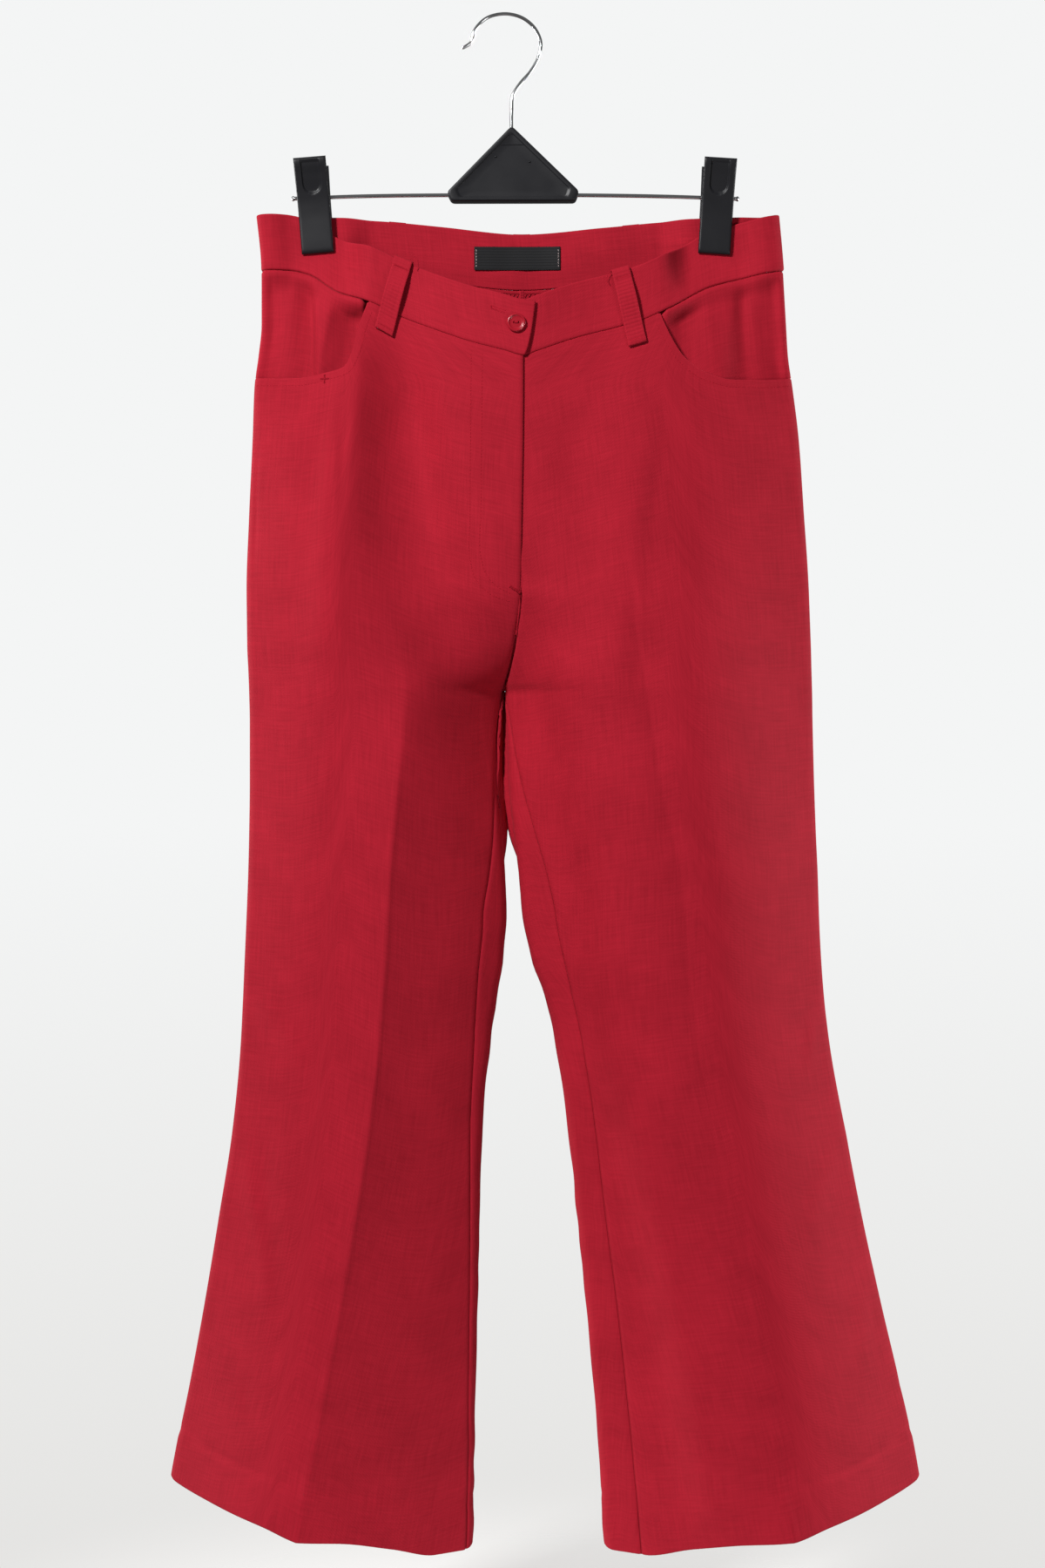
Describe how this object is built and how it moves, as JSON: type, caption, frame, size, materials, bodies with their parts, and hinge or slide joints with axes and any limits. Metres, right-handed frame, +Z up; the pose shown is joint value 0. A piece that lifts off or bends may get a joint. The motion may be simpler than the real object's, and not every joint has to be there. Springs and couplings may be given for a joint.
{
  "type": "dress trousers on a clip hanger",
  "caption": "Flared dress trousers with belt loops, curved pocket openings and a buttoned fly, hanging by the waist from a wire and plastic clip hanger.",
  "frame": {"origin": "inner top of the hanger hook's crown, where a rail carries it", "axes": "+Z up, -Y towards the viewer of the trousers' front, -X towards the wearer's right side"},
  "size_m": [0.6052, 0.13, 1.2164],
  "materials": {
    "red_suiting": "matte woven",
    "zip_tape": "matte woven",
    "woven_label": "woven satin",
    "button_resin": "gloss",
    "chromed_wire": "polished",
    "black_polypropylene": "satin"
  },
  "bodies": {
    "root": {"front_right": "red_suiting", "front_left": "red_suiting", "back_right": "red_suiting", "back_left": "red_suiting", "waistband_front_right": "red_suiting", "waistband_front_left": "red_suiting", "waistband_back": "red_suiting", "pocket_facing_right": "red_suiting", "pocket_facing_left": "red_suiting", "belt_loop_front_right": "red_suiting", "belt_loop_front_left": "red_suiting", "belt_loop_back_right": "red_suiting", "belt_loop_back_centre": "red_suiting", "belt_loop_back_left": "red_suiting", "fly_zip": "zip_tape", "fly_zip_slider": "chromed_wire", "button": "button_resin", "label": "woven_label", "hanger_hook": "chromed_wire", "hanger_hub": "black_polypropylene", "hanger_rod": "chromed_wire", "clip_right_front": "black_polypropylene", "clip_right_back": "black_polypropylene", "clip_right_spring": "chromed_wire", "clip_left_front": "black_polypropylene", "clip_left_back": "black_polypropylene", "clip_left_spring": "chromed_wire"}
  },
  "joints": []
}
